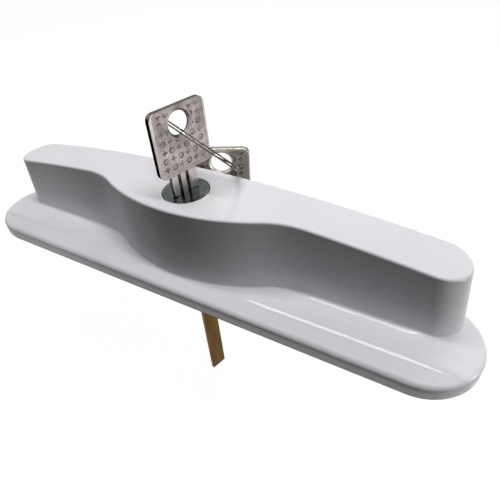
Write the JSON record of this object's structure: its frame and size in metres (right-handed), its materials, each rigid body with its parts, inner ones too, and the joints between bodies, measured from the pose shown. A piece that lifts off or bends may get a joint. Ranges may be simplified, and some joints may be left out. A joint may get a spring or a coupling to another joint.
{
  "type": "sliding patio door lock",
  "caption": "White pull handle for a sliding patio door with a straight back, a keyed lock cylinder, a flat turning tailpiece, its key and a spare key on a split ring.",
  "frame": {"origin": "the lock axis where it meets the door's outer face", "axes": "+Z out of the door along the lock axis, +X along the handle, +Y out of the grip's straight back"},
  "size_m": [0.216, 0.0512, 0.1352],
  "materials": {
    "white_coat": "satin white powder coat",
    "seal": "matt",
    "lock_plating": "polished plating",
    "pin_brass": "turned",
    "spring_steel": "drawn wire",
    "plate_steel": "zinc plated",
    "tail_brass": "rolled strip",
    "key_nickel": "nickel plated, patterned bow",
    "ring_steel": "polished strip"
  },
  "bodies": {
    "handle": {"handle_body": "white_coat", "back_gasket": "seal", "cylinder_shell": "lock_plating", "driver_pin_1": "pin_brass", "driver_pin_2": "pin_brass", "driver_pin_3": "pin_brass", "driver_pin_4": "pin_brass", "driver_pin_5": "pin_brass", "pin_spring_1": "spring_steel", "pin_spring_2": "spring_steel", "pin_spring_3": "spring_steel", "pin_spring_4": "spring_steel", "pin_spring_5": "spring_steel", "chamber_cap_1": "pin_brass", "chamber_cap_2": "pin_brass", "chamber_cap_3": "pin_brass", "chamber_cap_4": "pin_brass", "chamber_cap_5": "pin_brass", "retaining_plate": "plate_steel", "plate_screw_left": "plate_steel", "plate_screw_right": "plate_steel"},
    "plug": {"cylinder_plug": "lock_plating", "key_pin_1": "pin_brass", "key_pin_2": "pin_brass", "key_pin_3": "pin_brass", "key_pin_4": "pin_brass", "key_pin_5": "pin_brass", "plug_cap": "pin_brass", "cap_pin": "spring_steel", "cap_pin_spring": "spring_steel", "tailpiece": "tail_brass"},
    "key": {"key": "key_nickel"},
    "ring": {"split_ring": "ring_steel"},
    "spare": {"spare_key": "key_nickel"}
  },
  "joints": [
    {"name": "plug_turn", "type": "hinge", "parent": "handle", "child": "plug", "pos_m": [0, 0, 0.0367], "axis": [0, 0, 1], "range_deg": [-45, 15]},
    {"name": "key_slide", "type": "slide", "parent": "plug", "child": "key", "axis": [0, 0, 1], "range_m": [0, 0.03]},
    {"name": "ring_turn", "type": "hinge", "parent": "key", "child": "ring", "pos_m": [0.00044, 0.00164, 0.0594], "axis": [0, 0, 1], "range_deg": [-15, 45]},
    {"name": "spare_swing", "type": "hinge", "parent": "ring", "child": "spare", "pos_m": [0.00044, 0.0234, 0.03802], "axis": [0.9511, -0.2166, -0.2204], "range_deg": [0, 30]}
  ],
  "couplings": [
    {"joint": "ring_turn", "follows": "plug_turn", "ratio": -1}
  ]
}
